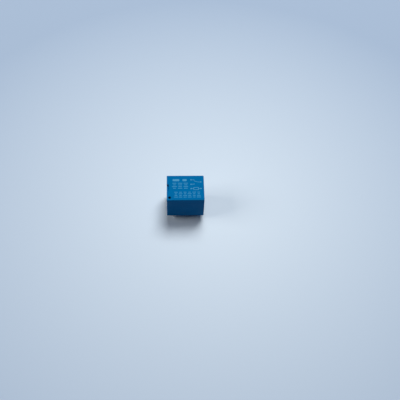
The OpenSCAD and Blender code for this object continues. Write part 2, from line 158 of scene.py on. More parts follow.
def angle(name, description, degrees):
    """Angle property with its default in degrees."""
    return FloatProperty(name=name, description=description, default=math.radians(degrees), subtype="ANGLE")


def number(name, description, default, unit="NONE"):
    """Number property that isn't below zero."""
    return FloatProperty(name=name, description=description, default=default, min=0, unit=unit)


def tint(name, description, code):
    """Colour property with its default as a screen colour."""
    return FloatVectorProperty(
        name=name, description=description, default=srgb(code), subtype="COLOR", size=3, min=0, max=1
    )


class RelayCase(bpy.types.PropertyGroup):
    """Sizes and colours of the moulded case."""

    edge_radius: length("Edge radius", "Radius of the case's outer edges", 0.4)
    inner_radius: length("Inner radius", "Radius of the case's inner corners", 0.3)
    rim_radius: length("Rim radius", "Radius of the rim's outer edge", 0.12)
    wall: length("Wall", "Thickness of the side walls", 0.8)
    step: length("Step", "Step in the walls that the base seats against", 0.2)
    roof: length("Roof", "Thickness of the roof", 1.0)
    vent_diameter: length("Vent", "Diameter of the vent in the roof", 1.4)
    vent_end: length("Vent from end", "Distance of the vent from the contact end", 1.45)
    vent_front: length("Vent from front", "Distance of the vent from the front", 1.65)
    notch_length: length("Notch length", "Length of the moulding notch in the roof's edge", 4.4)
    notch_reach: length("Notch reach", "How far the notch reaches in from the edge", 1.1)
    notch_depth: length("Notch depth", "Depth of the notch below the roof", 1.3)
    notch_corner: length("Notch corner", "Radius of the notch's corners", 0.5)
    notch_wall: length("Notch wall", "Wall that the case keeps round the notch, inside", 0.5)
    edge_break: length("Edge break", "Softening of the edges of notch, vent, base and bobbin", 0.06)
    wear: length("Wear", "How far in from its edges the plastic is worn", 0.64)
    colour: tint("Case colour", "Moulded plastic of the case", 0x02659B)
    worn_colour: tint("Worn colour", "Polished plastic along the edges", 0x2278B0)
    gloss: tint("Gloss", "Tint of the reflections on the plastic", 0x6CCBFF)


class RelayPrint(bpy.types.PropertyGroup):
    """Sizes and colours of the pale print on the roof."""

    thickness: length("Ink", "Thickness of the ink", 0.012)
    line: length("Line", "Width of the diagram's lines", 0.26)
    dot: length("Dot", "Radius of the diagram's terminal dots", 0.38)
    colour: tint("Ink colour", "Pale ink of the heading and the diagram", 0x4C92B7)
    fine_colour: tint("Fine ink colour", "Thinner ink of the small print", 0x3B88B2)
    seed: IntProperty(name="Seed", description="Seed of the bars' lengths", default=4, min=0)


class RelaySeal(bpy.types.PropertyGroup):
    """Sizes and colours of the resin under the base."""

    creep: length("Creep", "How far the resin climbs along walls and pins", 0.16)
    reach: length("Reach", "How far from a wall or pin the resin starts to climb", 0.28)
    ripple: length("Ripple", "Height of the waves left in the resin's face", 0.015)
    wave: length("Wave", "Spacing of the waves in the resin's face", 1.6)
    corner: length("Corner", "Radius of the resin's corners", 0.3)
    stem: length("Stem", "Half the width of the hole for a coil pin", 0.25)
    cell: length("Cell", "Spacing of the resin's mesh", 0.11)
    colour: tint("Resin colour", "Cast resin", 0x10161F)
    dust: tint("Dust", "Dust on the resin", 0x7B8794)


class RelayMetal(bpy.types.PropertyGroup):
    """Sizes and colours of the metal pieces."""

    edge_break: length("Edge break", "Softening of stamped and turned edges", 0.03)
    rivet_shank: length("Rivet shank", "Radius of a rivet's shank", 0.5)
    rivet_head: length("Rivet head", "Height of a rivet's head", 0.25)
    rivet_rim: number("Rivet rim", "Share of a rivet head's height that stands straight", 0.3)
    rivet_flat: number("Rivet flat", "Share of a rivet head's width that is flat on top", 0.12)
    leaf_rise: length("Leaf rise", "Height above the hinge at which the leaf starts to bend", 0.25)
    leaf_bend: length("Leaf bend", "Size of the leaf's bend over the hinge", 0.65)
    tin: tint("Tin", "Tinned pins", 0xC9CBCB)
    alloy: tint("Alloy", "Copper alloy of the terminals", 0xC08A55)
    steel: tint("Steel", "Plated steel of yoke and armature", 0xA9ABAC)
    iron: tint("Iron", "Soft iron of the core", 0x8E8F90)
    brass: tint("Brass", "Rivets", 0xC7A35E)
    silver: tint("Silver", "Contact faces", 0xD9D6CE)
    bronze: tint("Bronze", "Leaf spring", 0xB9834C)
    solder: tint("Solder", "Solder on the coil's pins", 0xB7B9BB)


class RelayCoil(bpy.types.PropertyGroup):
    """Sizes and colours of the coil and the base that carries it."""

    wire: length("Wire", "Diameter of the wire in the winding", 0.16)
    wire_gap: length("Wire gap", "Space between neighbouring turns", 0.004)
    fit: length("Fit", "Space between the wire and what it touches", 0.03)
    turn_points: IntProperty(name="Turn points", description="Points in one turn of wire", default=72, min=12)
    lead_turns: IntProperty(name="Lead turns", description="Turns around a coil pin", default=4, min=1)
    copper: tint("Copper", "Enamelled wire", 0xB5622F)
    bobbin: tint("Bobbin", "Moulded bobbin", 0xDDD6C4)
    bobbin_speck: tint("Bobbin specks", "Specks of filler in the bobbin", 0xF1ECE0)
    base: tint("Base", "Moulded base", 0x1B1F24)
    base_speck: tint("Base specks", "Specks of filler in the base", 0x4A525C)


class RelayStage(bpy.types.PropertyGroup):
    """Camera, light and floor; a bearing of 0 is the hinge end, and 90 degrees is the rear."""

    camera: FloatVectorProperty(
        name="Camera", description="Place of the camera", subtype="TRANSLATION", unit="LENGTH",
        default=(-5.63 * MM, -163.06 * MM, 244.35 * MM),
    )
    lens: number("Lens", "Focal length", 50, "CAMERA")
    pitch: angle("Pitch", "How far the camera looks down", 55.88)
    heading: angle("Heading", "How far the camera is turned to the right of straight ahead", 4.70)
    roll: angle("Roll", "Turn of the camera about its own axis", 3.5)
    lamp_size: length("Lamp size", "Width of a lamp", 750)
    lamp_distance: length("Lamp distance", "Distance of a lamp from the object", 1500)
    key_power: number("Key power", "Power of the lamp at the rear", 21.9, "POWER")
    key_elevation: angle("Key elevation", "Height of the lamp at the rear above the floor", 63)
    key_bearing: angle("Key bearing", "Direction of the lamp at the rear", 68)
    side_power: number("Side power", "Power of the lamp at the contact end", 9.4, "POWER")
    side_elevation: angle("Side elevation", "Height of the lamp at the contact end above the floor", 35)
    side_bearing: angle("Side bearing", "Direction of the lamp at the contact end", 185)
    fill: tint("Fill", "Light of the lamp at the contact end", 0xFFF8EE)
    shade: tint("Shade", "Light that reaches the shadows from all sides", 0x66B0FF)
    ambient: number("Ambient", "Strength of the light from all sides", 0.1)
    sky: tint("Sky", "Pale surround that the camera sees", 0xAFC4DC)
    floor_size: length("Floor size", "Width of the floor", 3000)
    # The two floor colours, the spot and the distance below paint a pool of light on the floor: palest beside
    # the object, darker towards the frame.
    floor: tint("Floor", "Pale floor by the object", 0xD5E1EA)
    floor_painted_dim: tint("Floor away", "Pale floor away from the object", 0xA3B4C8)
    painted_light_spot: length("Bright spot", "How far to the right of the object the floor is palest", 17)
    falloff: length("Falloff", "Distance at which the floor has its second colour", 175)
    bounce: number("Bounce", "Share of its light that the floor gives back to the object", 0.56)


# Meshes


def quarter_turn(steps):
    """Angles of a quarter turn in even steps, both ends among them."""
    return [math.radians(90) * step / steps for step in range(steps + 1)]

# Painted light: the floor is palest at a spot beside the object and darkens with distance from it.

def circle(radius, count, centre=(0, 0)):
    """Points round a circle, seen from above and counted leftwards."""
    turns = [2 * math.pi * step / count for step in range(count)]
    return [(centre[0] + radius * math.cos(turn), centre[1] + radius * math.sin(turn)) for turn in turns]


def rounded_loop(half_x, half_y, radius, z):
    """Points round a rectangle with round corners, seen from above and counted leftwards."""
    points = []
    corners = ((1, 1), (-1, 1), (-1, -1), (1, -1))
    for quarter, (side_x, side_y) in enumerate(corners):
        centre = Vector((side_x * (half_x - radius), side_y * (half_y - radius), z))
        for step in range(ARC_STEPS + 1):
            turn = math.radians(90) * (quarter + step / ARC_STEPS)
            points.append(centre + radius * Vector((math.cos(turn), math.sin(turn), 0)))
    return points


def band(bm, loop, following):
    """Adds the faces between two closed loops with as many points."""
    for index in range(len(loop)):
        after = (index + 1) % len(loop)
        bm.faces.new((loop[index], loop[after], following[after], following[index]))


def skin(bm, loops):
    """Closes a stack of loops of equal length into one skin, with a cap at each end."""
    rows = [[bm.verts.new(point) for point in loop] for loop in loops]
    for row, following in zip(rows, rows[1:]):
        band(bm, row, following)
    bm.faces.new(reversed(rows[0]))
    bm.faces.new(rows[-1])


def lathe(profile, count=TURNED_POINTS):
    """Closed turned shape from points of radius and height, about the Z axis."""
    bm = bmesh.new()
    skin(bm, [[Vector((x, y, z)) for x, y in circle(radius, count)] for radius, z in profile])
    return bm


def box_prism(bm, centre, half):
    """Adds a plain block, as a cutting tool."""
    bmesh.ops.create_cube(bm, size=2, matrix=Matrix.Translation(centre) @ Matrix.Diagonal((*half, 1)))


def pad(bm, outline, low, high):
    """Adds a flat pad with the given outline between two heights."""
    skin(bm, [[Vector((x, y, z)) for x, y in outline] for z in (low, high)])


def closed_up(bm):
    """Merges doubles and turns the faces outwards."""
    bmesh.ops.remove_doubles(bm, verts=bm.verts, dist=MICRON)
    bmesh.ops.dissolve_degenerate(bm, edges=bm.edges, dist=MICRON)
    bmesh.ops.recalc_face_normals(bm, faces=bm.faces)
    return bm


def plain_mesh(bm, name):
    """Mesh data from a finished bmesh."""
    mesh = bpy.data.meshes.new(name)
    bm.to_mesh(mesh)
    bm.free()
    return mesh


def shade(mesh, limit=SMOOTH):
    """Smooth shading, with edges past an angle kept sharp."""
    mesh.polygons.foreach_set("use_smooth", [True] * len(mesh.polygons))
    mesh.set_sharp_from_angle(angle=limit)


def linked(name, data):
    """New object in the scene."""
    piece = bpy.data.objects.new(name, data)
    bpy.context.scene.collection.objects.link(piece)
    return piece


def new_piece(name, bm):
    """New object with the mesh of a finished bmesh."""
    return linked(name, plain_mesh(bm, name))


def frozen(piece):
    """Gives a piece the mesh that its modifiers make, and removes them."""
    evaluated = piece.evaluated_get(bpy.context.evaluated_depsgraph_get())
    mesh = bpy.data.meshes.new_from_object(evaluated)
    piece.modifiers.clear()
    piece.data = mesh


def combine(piece, bm, operation="DIFFERENCE"):
    """Takes a tool's shape out of a piece, or joins it to the piece."""
    tool = new_piece("tool", closed_up(bm))
    modifier = piece.modifiers.new("Combine", "BOOLEAN")
    modifier.operation = operation
    modifier.solver = "EXACT"
    modifier.object = tool
    frozen(piece)
    bpy.data.objects.remove(tool)


def soften(piece, width, merge=False):
    """Breaks the sharp edges of a piece; a CAD node's triangles are merged and flattened first."""
    if merge:
        weld = piece.modifiers.new("Merge", "WELD")
        weld.merge_threshold = MICRON
        flatten = piece.modifiers.new("Flatten", "DECIMATE")
        flatten.decimate_type = "DISSOLVE"
        flatten.angle_limit = FLAT
    bevel = piece.modifiers.new("Edges", "BEVEL")
    bevel.width = width
    bevel.segments = 2
    bevel.limit_method = "ANGLE"
    bevel.angle_limit = SHARP
    bevel.use_clamp_overlap = merge
    even_shading(piece)


def even_shading(piece):
    """Keeps flat faces flat beside their rounded edges."""
    normals = piece.modifiers.new("Normals", "WEIGHTED_NORMAL")
    normals.keep_sharp = True


def paint(piece, material):
    """Gives a piece one material."""
    piece.data.materials.clear()
    piece.data.materials.append(material)


def dress(node, material, width):
    """Gives a CAD node its finish and breaks its edges."""
    piece = frame["nodes"][node]
    paint(piece, material)
    soften(piece, width, merge=True)


def settle(piece, material, body, slot, *nodes):
    """Gives a new piece its finish and its body, and hides the CAD nodes that it stands for; the slot is not
    used.
    """
    paint(piece, material)
    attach(piece, body)
    if nodes:
        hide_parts(*nodes)


def merged_copy(node, name):
    """New piece with a CAD node's shape, in merged and flattened faces."""
    bm = bmesh.new()
    bm.from_mesh(frame["nodes"][node].data)
    bmesh.ops.remove_doubles(bm, verts=bm.verts, dist=MICRON)
    bmesh.ops.dissolve_limit(bm, angle_limit=FLAT, verts=bm.verts, edges=bm.edges)
    return new_piece(name, bm)


# Node trees


def feed(tree, socket, value):
    """Gives a socket its value, or links it from another socket."""
    if isinstance(value, bpy.types.NodeSocket):
        tree.links.new(value, socket)
    else:
        socket.default_value = value


def add(tree, kind, inputs=None, **settings):
    """Adds a node; an input is a value, or a socket to link from."""
    node = tree.nodes.new(kind)
    for key, value in settings.items():
        setattr(node, key, value)
    for key, value in (inputs or {}).items():
        feed(tree, node.inputs[key], value)
    return node


def result(tree, kind, inputs, **settings):
    """First output of a new node."""
    return add(tree, kind, inputs, **settings).outputs[0]


def math_node(tree, operation, first, second):
    """Output of a Math node on two values or sockets."""
    return result(tree, "ShaderNodeMath", {0: first, 1: second}, operation=operation)


def show_either(tree, output, factor, first, second):
    """Sends the mix of two shaders to a tree's output node."""
    mixed = result(tree, "ShaderNodeMixShader", {0: factor, 1: first, 2: second})
    tree.links.new(mixed, tree.nodes[output].inputs["Surface"])


def geometry_tree(name, sockets):
    """New geometry tree with named inputs, and the sockets that they come from."""
    tree = bpy.data.node_groups.new(name, "GeometryNodeTree")
    tree.interface.new_socket("Geometry", in_out="OUTPUT", socket_type="NodeSocketGeometry")
    for label, kind in sockets.items():
        tree.interface.new_socket(label, in_out="INPUT", socket_type="NodeSocket" + kind)
    return tree, tree.nodes.new("NodeGroupInput").outputs


def end_tree(tree, geometry, material):
    """Ends a geometry tree in real meshes with their material."""
    real = result(tree, "GeometryNodeRealizeInstances", {"Geometry": geometry})
    painted = result(tree, "GeometryNodeSetMaterial", {"Geometry": real, "Material": material})
    add(tree, "NodeGroupOutput", {"Geometry": painted})
    return tree


def grow(name, tree, values, start=None):
    """New piece with the plain mesh that a geometry tree makes from its inputs."""
    piece = linked(name, start or bpy.data.meshes.new(name))
    modifier = piece.modifiers.new(tree.name, "NODES")
    modifier.node_group = tree
    for socket in tree.interface.items_tree:
        if socket.in_out == "INPUT" and socket.name in values:
            modifier[socket.identifier] = values[socket.name]
    frozen(piece)
    return piece


def moved(tree, geometry, way):
    """Geometry moved by a vector."""
    return result(tree, "GeometryNodeTransform", {"Geometry": geometry, "Translation": way})


def joined(tree, *parts):
    """Several geometries in one."""
    node = tree.nodes.new("GeometryNodeJoinGeometry")
    for part in parts:
        tree.links.new(part, node.inputs[0])
    return node.outputs[0]


def round_wire(tree, path, radius, sides):
    """Round wire along a curve, with closed ends."""
    section = result(tree, "GeometryNodeCurvePrimitiveCircle", {"Resolution": sides, "Radius": radius})
    inputs = {"Curve": path, "Profile Curve": section, "Fill Caps": True}
    return result(tree, "GeometryNodeCurveToMesh", inputs)


def pair_tree():
    """Tree that sets two copies of its geometry apart across the case."""
    tree, given = geometry_tree(
        "Pair across", {"Geometry": "Geometry", "Spacing": "Float", "Material": "Material"}
    )
    start = result(tree, "ShaderNodeCombineXYZ", {"Y": math_node(tree, "MULTIPLY", given["Spacing"], -0.5)})
    step = result(tree, "ShaderNodeCombineXYZ", {"Y": given["Spacing"]})
    line = result(tree, "GeometryNodeMeshLine", {"Count": 2, "Start Location": start, "Offset": step})
    copies = result(tree, "GeometryNodeInstanceOnPoints", {"Points": line, "Instance": given["Geometry"]})
    return end_tree(tree, copies, given["Material"])


def wire_tree():
    """Tree that runs round wire along the edges of its geometry."""
    sides = 10
    tree, given = geometry_tree(
        "Wire along a line", {"Geometry": "Geometry", "Diameter": "Float", "Material": "Material"}
    )
    path = result(tree, "GeometryNodeMeshToCurve", {"Mesh": given["Geometry"]})
    radius = math_node(tree, "MULTIPLY", given["Diameter"], 0.5)
    return end_tree(tree, round_wire(tree, path, radius, sides), given["Material"])


def winding_tree():
    """Tree that winds one layer of wire on a bulk of wire round the Z axis."""
    wire_sides, bulk_sides = 8, 96
    tree, given = geometry_tree("Winding", {
        "Radius": "Float", "Bore": "Float", "Height": "Float", "Wire": "Float", "Turns": "Float",
        "Turn points": "Int", "Place": "Vector", "Material": "Material",
    })
    wire_radius = math_node(tree, "MULTIPLY", given["Wire"], 0.5)
    wire_line = math_node(tree, "SUBTRACT", given["Radius"], wire_radius)
    rise = math_node(tree, "SUBTRACT", given["Height"], given["Wire"])
    spiral = result(tree, "GeometryNodeCurveSpiral", {
        "Resolution": given["Turn points"], "Rotations": given["Turns"], "Start Radius": wire_line,
        "End Radius": wire_line, "Height": rise,
    })
    drop = result(tree, "ShaderNodeCombineXYZ", {"Z": math_node(tree, "MULTIPLY", rise, -0.5)})
    layer = moved(tree, round_wire(tree, spiral, wire_radius, wire_sides), drop)
    depth = math_node(tree, "SUBTRACT", wire_line, given["Bore"])
    ring_line = math_node(tree, "MULTIPLY", math_node(tree, "ADD", wire_line, given["Bore"]), 0.5)
    ring = result(tree, "GeometryNodeCurvePrimitiveCircle", {"Resolution": bulk_sides, "Radius": ring_line})
    upright = result(tree, "GeometryNodeSetCurveNormal", {"Curve": ring}, mode="Z_UP")
    block = result(
        tree, "GeometryNodeCurvePrimitiveQuadrilateral", {"Width": depth, "Height": given["Height"]}
    )
    bulk = result(tree, "GeometryNodeCurveToMesh", {"Curve": upright, "Profile Curve": block})
    placed = moved(tree, joined(tree, bulk, layer), given["Place"])
    return end_tree(tree, placed, given["Material"])


def bars_tree():
    """Tree that prints rows of flat bars of uneven length on the roof."""
    corner_share, corner_steps, shortest = 0.3, 4, 0.5
    tree, given = geometry_tree("Print bars", {
        "Columns": "Int", "Rows": "Int", "Column pitch": "Float", "Row pitch": "Float", "Bar": "Float",
        "Height": "Float", "Thickness": "Float", "Place": "Vector", "Seed": "Int", "Material": "Material",
    })
    column_gaps = math_node(tree, "SUBTRACT", given["Columns"], 1)
    row_gaps = math_node(tree, "SUBTRACT", given["Rows"], 1)
    grid = result(tree, "GeometryNodeMeshGrid", {
        "Size X": math_node(tree, "MULTIPLY", given["Column pitch"], column_gaps),
        "Size Y": math_node(tree, "MULTIPLY", given["Row pitch"], row_gaps),
        "Vertices X": given["Columns"], "Vertices Y": given["Rows"],
    })
    outline = result(
        tree, "GeometryNodeCurvePrimitiveQuadrilateral", {"Width": given["Bar"], "Height": given["Height"]}
    )
    corner = math_node(tree, "MULTIPLY", given["Height"], corner_share)
    inputs = {"Curve": outline, "Radius": corner, "Count": corner_steps}
    rounded = result(tree, "GeometryNodeFilletCurve", inputs, mode="POLY")
    face = result(tree, "GeometryNodeFillCurve", {"Curve": rounded}, mode="NGONS")
    body = result(tree, "GeometryNodeExtrudeMesh", {"Mesh": face, "Offset Scale": given["Thickness"]})
    under = result(tree, "GeometryNodeFlipFaces", {"Mesh": face})
    inputs = {"Geometry": joined(tree, body, under), "Distance": MICRON}
    sealed = result(tree, "GeometryNodeMergeByDistance", inputs)
    inputs = {"Min": (shortest, 1, 1), "Max": (1, 1, 1), "Seed": given["Seed"]}
    spread = result(tree, "FunctionNodeRandomValue", inputs, data_type="FLOAT_VECTOR")
    inputs = {"Points": grid, "Instance": sealed, "Scale": spread}
    bars = result(tree, "GeometryNodeInstanceOnPoints", inputs)
    return end_tree(tree, moved(tree, bars, given["Place"]), given["Material"])


# Finishes


class Finish:
    """A material in the making: its tree, its shader and the piece's own coordinates."""

    def __init__(self, name):
        self.material = bpy.data.materials.new(name)
        self.material.use_nodes = True
        self.tree = self.material.node_tree
        self.shader = self.tree.nodes["Principled BSDF"]
        self.place = add(self.tree, "ShaderNodeTexCoord").outputs["Object"]

    def grain(self, size, detail=3.0, stretch=(1, 1, 1)):
        """Noise with grains of a real size, drawn out along the axes by stretch."""
        scale = tuple(1 / part for part in stretch)
        place = result(self.tree, "ShaderNodeMapping", {"Vector": self.place, "Scale": scale})
        inputs = {"Vector": place, "Scale": 1 / size, "Detail": detail}
        return add(self.tree, "ShaderNodeTexNoise", inputs).outputs["Fac"]

    def between(self, value, low, high, start=0.0, end=1.0):
        """Value stretched from low and high to start and end."""
        inputs = {"Value": value, "From Min": low, "From Max": high, "To Min": start, "To Max": end}
        return result(self.tree, "ShaderNodeMapRange", inputs)

    def spread(self, grain, start=0.0, end=1.0):
        """Grain stretched from its usual range to start and end."""
        return self.between(grain, GRAIN_LOW, GRAIN_HIGH, start, end)

    def mix(self, factor, first, second):
        """Mix of two colours or sockets."""
        sides = [side if isinstance(side, bpy.types.NodeSocket) else rgba(side) for side in (first, second)]
        node = add(self.tree, "ShaderNodeMix", data_type="RGBA")
        sockets = [socket for socket in node.inputs if socket.enabled]
        for socket, value in zip(sockets, (factor, *sides)):
            feed(self.tree, socket, value)
        return next(socket for socket in node.outputs if socket.enabled)

    def math(self, operation, first, second):
        """Output of a Math node on two values or sockets."""
        return math_node(self.tree, operation, first, second)

    def vector(self, operation, *parts):
        """Outputs of a Vector Math node on vectors or sockets."""
        return add(self.tree, "ShaderNodeVectorMath", dict(enumerate(parts)), operation=operation).outputs

    def axes(self, vector):
        """The X, Y and Z of a vector."""
        return add(self.tree, "ShaderNodeSeparateXYZ", {0: vector}).outputs

    def bump(self, height, depth, below=None):
        """Surface relief of a real depth, on top of another relief where one is given."""
        inputs = {"Height": height, "Distance": depth, "Strength": 1.0}
        if below:
            inputs["Normal"] = below
        return result(self.tree, "ShaderNodeBump", inputs)

    def set(self, **inputs):
        """Sets or links the shader's inputs, named in lower case with underscores."""
        for key, value in inputs.items():
            feed(self.tree, self.shader.inputs[key.replace("_", " ").title().replace("Ior", "IOR")], value)
        return self.material


def case_finish(case):
    """Blue moulded plastic: eroded grain, faint flow marks, and edges polished by handling."""
    finish = Finish("case_plastic")
    worn_band = Vector((case.wear, case.wear, case.wear))
    from_middle = finish.vector("ABSOLUTE", finish.place)["Vector"]
    past = finish.vector("SUBTRACT", from_middle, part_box("cover")[1] - worn_band)["Vector"]
    shares = finish.axes(finish.vector("DIVIDE", past, worn_band)["Vector"])
    x, y, z = [finish.between(share, 0.0, 1.0) for share in shares]
    xy, yz, xz = [finish.math("MULTIPLY", *pair) for pair in ((x, y), (y, z), (x, z))]
    edges = finish.math("MAXIMUM", finish.math("MAXIMUM", xy, yz), xz)
    flow = finish.grain(4 * MM, 2.0, (2.5, 1, 1))
    patch = finish.grain(0.7 * MM, 4.0)
    worn = finish.math("MULTIPLY", edges, finish.between(patch, 0.35, 0.65, 0.15, 1.0))
    pits = finish.grain(0.07 * MM, 3.0)
    eroded = finish.bump(pits, 14 * MICRON)
    tone = finish.math("ADD", finish.spread(flow, 0.0, 0.5), finish.spread(pits, 0.0, 0.5))
    body = finish.mix(tone, scaled(case.colour, 0.9), scaled(case.colour, 1.08))
    satin = finish.between(finish.grain(0.9 * MM, 6.0), 0.35, 0.65, 0.54, 0.48)
    return finish.set(
        base_color=finish.mix(finish.math("MULTIPLY", worn, 0.5), body, case.worn_colour),
        roughness=finish.math("SUBTRACT", satin, finish.math("MULTIPLY", worn, 0.12)),
        specular_ior_level=0.08,
        specular_tint=rgba(case.gloss),
        normal=finish.bump(finish.grain(5 * MM, 1.0), 12 * MICRON, eroded),
    )


def ink_finish(name, case, colour):
    """Pale pad-printed ink, thin in places so that the plastic shows through."""
    finish = Finish(name)
    thin = finish.between(finish.grain(0.2 * MM, 6.0), 0.34, 0.48, 0.6, 0.0)
    return finish.set(
        base_color=finish.mix(thin, colour, case.colour),
        roughness=finish.spread(finish.grain(0.12 * MM, 2.0), 0.55, 0.72),
        specular_ior_level=0.25,
        normal=finish.bump(finish.grain(0.08 * MM, 2.0), 3 * MICRON),
    )


def moulded_finish(name, colour, speck, roughness):
    """Moulded plastic with specks of filler and a fine eroded face."""
    finish = Finish(name)
    specks = finish.between(finish.grain(0.09 * MM, 4.0, (3, 1, 1)), 0.6, 0.72)
    cloud = finish.spread(finish.grain(2.2 * MM, 2.0))
    body = finish.mix(cloud, scaled(colour, 0.88), colour)
    return finish.set(
        base_color=finish.mix(finish.math("MULTIPLY", specks, 0.5), body, speck),
        roughness=finish.spread(finish.grain(0.4 * MM, 3.0), roughness - 0.06, roughness + 0.08),
        normal=finish.bump(finish.grain(0.07 * MM, 2.0), 6 * MICRON),
    )


def resin_finish(seal):
    """Cast resin: glossy, slightly cloudy, with fine ripples and dust."""
    finish = Finish("seal_resin")
    cloud = finish.spread(finish.grain(1.8 * MM, 3.0))
    dust = finish.between(finish.grain(0.05 * MM, 2.0), 0.66, 0.74)
    body = finish.mix(cloud, scaled(seal.colour, 0.8), scaled(seal.colour, 1.5))
    clean = finish.between(cloud, 0.0, 1.0, 0.16, 0.26)
    return finish.set(
        base_color=finish.mix(finish.math("MULTIPLY", dust, 0.35), body, seal.dust),
        roughness=finish.math("ADD", clean, finish.math("MULTIPLY", dust, 0.3)),
        normal=finish.bump(finish.grain(0.9 * MM, 2.0), 18 * MICRON),
    )


def metal_finish(name, colour, tarnish, roughness, stretch=(1, 1, 1), stained=0.35):
    """Worked metal: drawn or rolled lines, a broken sheen and spots that tarnish has darkened."""
    finish = Finish(name)
    lines = finish.grain(0.08 * MM, 1.5, stretch)
    spots = finish.between(finish.grain(0.6 * MM, 5.0), 0.45, 0.7)
    clean = finish.spread(lines, roughness - 0.07, roughness + 0.07)
    return finish.set(
        base_color=finish.mix(finish.math("MULTIPLY", spots, stained), colour, scaled(colour, tarnish)),
        metallic=1.0,
        roughness=finish.math("ADD", clean, finish.math("MULTIPLY", spots, 0.12)),
        normal=finish.bump(lines, 1.2 * MICRON),
    )


def terminal_finish(metal, tin_line):
    """Stamped copper alloy, hot-dipped in tin below a ragged line."""
    finish = Finish("terminal_copper")
    ragged = finish.spread(finish.grain(0.5 * MM, 3.0), -0.15 * MM, 0.15 * MM)
    level = finish.math("ADD", finish.axes(finish.place)["Z"], ragged)
    bare = finish.between(level, tin_line - 0.05 * MM, tin_line + 0.05 * MM)
    lines = finish.grain(0.1 * MM, 1.0, (1, 1, 15))
    tarnish = finish.between(finish.grain(0.8 * MM, 5.0), 0.42, 0.7)
    alloy = finish.mix(finish.math("MULTIPLY", tarnish, 0.5), metal.alloy, scaled(metal.alloy, 0.5))
    runs = finish.grain(0.45 * MM, 2.0, (1, 1, 3))
    tin = finish.mix(finish.between(runs, 0.45, 0.7), metal.tin, scaled(metal.tin, 0.72))
    dip = finish.bump(finish.math("MULTIPLY", runs, finish.math("SUBTRACT", 1.0, bare)), 14 * MICRON)
    sheen = finish.between(bare, 0.0, 1.0, 0.24, 0.36)
    return finish.set(
        base_color=finish.mix(bare, tin, alloy),
        metallic=1.0,
        roughness=finish.math("ADD", sheen, finish.spread(lines, -0.05, 0.06)),
        normal=finish.bump(lines, 0.8 * MICRON, dip),
    )


def wire_finish(coil):
    """Enamelled copper wire: warm and glossy, with a tone that drifts from turn to turn."""
    finish = Finish("copper_wire")
    drift = finish.spread(finish.grain(0.3 * MM, 2.0, (8, 8, 1)))
    return finish.set(
        base_color=finish.mix(drift, scaled(coil.copper, 0.6), coil.copper),
        metallic=0.85,
        roughness=finish.spread(finish.grain(0.2 * MM, 3.0), 0.22, 0.36),
        coat_weight=0.6,
        coat_roughness=0.12,
        normal=finish.bump(finish.grain(0.08 * MM, 2.0), 2 * MICRON),
    )


# Pieces


class RELAY_OT_case(bpy.types.Operator):
    """Builds the moulded case with its round edges, vent and notch"""

    bl_idname = "relay.case"
    bl_label = "Case"

    def execute(self, context):
        case = context.scene.relay_case
        low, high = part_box("cover")
        top = high.z - context.scene.relay_print.thickness
        bm = bmesh.new()
        profile = self.profile(case, low.z, top, high.z - case.roof)
        skin(bm, [rounded_loop(high.x - inset, high.y - inset, radius, z) for inset, z, radius in profile])
        piece = new_piece("case_shell", closed_up(bm))
        combine(piece, self.notch(case, low, high.z, case.notch_wall), "UNION")
        combine(piece, self.notch(case, low, high.z))
        combine(piece, self.vent(case, low, top))
        self.break_edges(piece.data, case, low, top)
        shade(piece.data, SMOOTH_LARGE)
        even_shading(piece)
        settle(piece, case_finish(case), "frame", "case_plastic", "cover")
        return {"FINISHED"}

    def profile(self, case, rim, top, ceiling):
        """Inset, height and corner radius of the case's loops, from the roof down and up inside."""
        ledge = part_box("yoke")[0].z
        seat = case.wall - case.step
        bends = quarter_turn(ARC_STEPS)
        loops = []
        for bend in bends:
            inset = case.edge_radius * (1 - math.sin(bend))
            loops.append((inset, top - case.edge_radius * (1 - math.cos(bend)), case.edge_radius - inset))
        for bend in bends:
            inset = case.rim_radius * (1 - math.cos(bend))
            loops.append((inset, rim + case.rim_radius * (1 - math.sin(bend)), case.edge_radius - inset))
        loops += [
            (seat - case.rim_radius, rim, case.inner_radius),
            (seat, rim + case.rim_radius, case.inner_radius),
            (seat, ledge, case.inner_radius),
            (case.wall, ledge, case.inner_radius),
        ]
        for bend in bends:
            inset = case.inner_radius * (1 - math.cos(bend))
            drop = case.inner_radius * (1 - math.sin(bend))
            loops.append((case.wall + inset, ceiling - drop, case.inner_radius - inset))
        return loops

    def break_edges(self, mesh, case, low, top):
        """Rounds the sharp edges of the notch and the vent's rim."""
        margin = case.edge_break
        reach = low.x + case.notch_reach + margin
        side = case.notch_length / 2 + margin
        bottom = top - case.notch_depth - margin
        bm = bmesh.new()
        bm.from_mesh(mesh)
        sharp = []
        for edge in bm.edges:
            place = (edge.verts[0].co + edge.verts[1].co) / 2
            in_notch = place.x < reach and abs(place.y) < side and place.z > bottom
            shown = in_notch or place.z > top - margin
            if shown and edge.calc_face_angle(0) > SHARP:
                sharp.append(edge)
        bmesh.ops.bevel(
            bm, geom=sharp, offset=margin, offset_type="OFFSET", segments=2, profile=0.5, affect="EDGES",
        )
        bm.to_mesh(mesh)
        bm.free()

    def vent(self, case, low, top):
        """Cutting tool for the vent."""
        radius = case.vent_diameter / 2
        bm = lathe([(radius, -2 * case.roof), (radius, case.roof)])
        place = Vector((low.x + case.vent_end, low.y + case.vent_front, top))
        bmesh.ops.translate(bm, verts=bm.verts, vec=place)
        return bm

    def notch(self, case, low, top, around=0):
        """Cutting tool for the notch, or with a wall the lump that keeps it closed inside."""
        start = low.x + case.wall / 4 if around else low.x - case.notch_reach
        end = low.x + case.notch_reach + around
        bottom = top - case.notch_depth - around
        upper = top - case.roof / 2 if around else top + case.roof
        half = ((end - start) / 2, case.notch_length / 2 + around)
        bm = bmesh.new()
        skin(bm, [rounded_loop(*half, case.notch_corner, z) for z in (bottom, upper)])
        bmesh.ops.translate(bm, verts=bm.verts, vec=((start + end) / 2, 0, 0))
        return bm


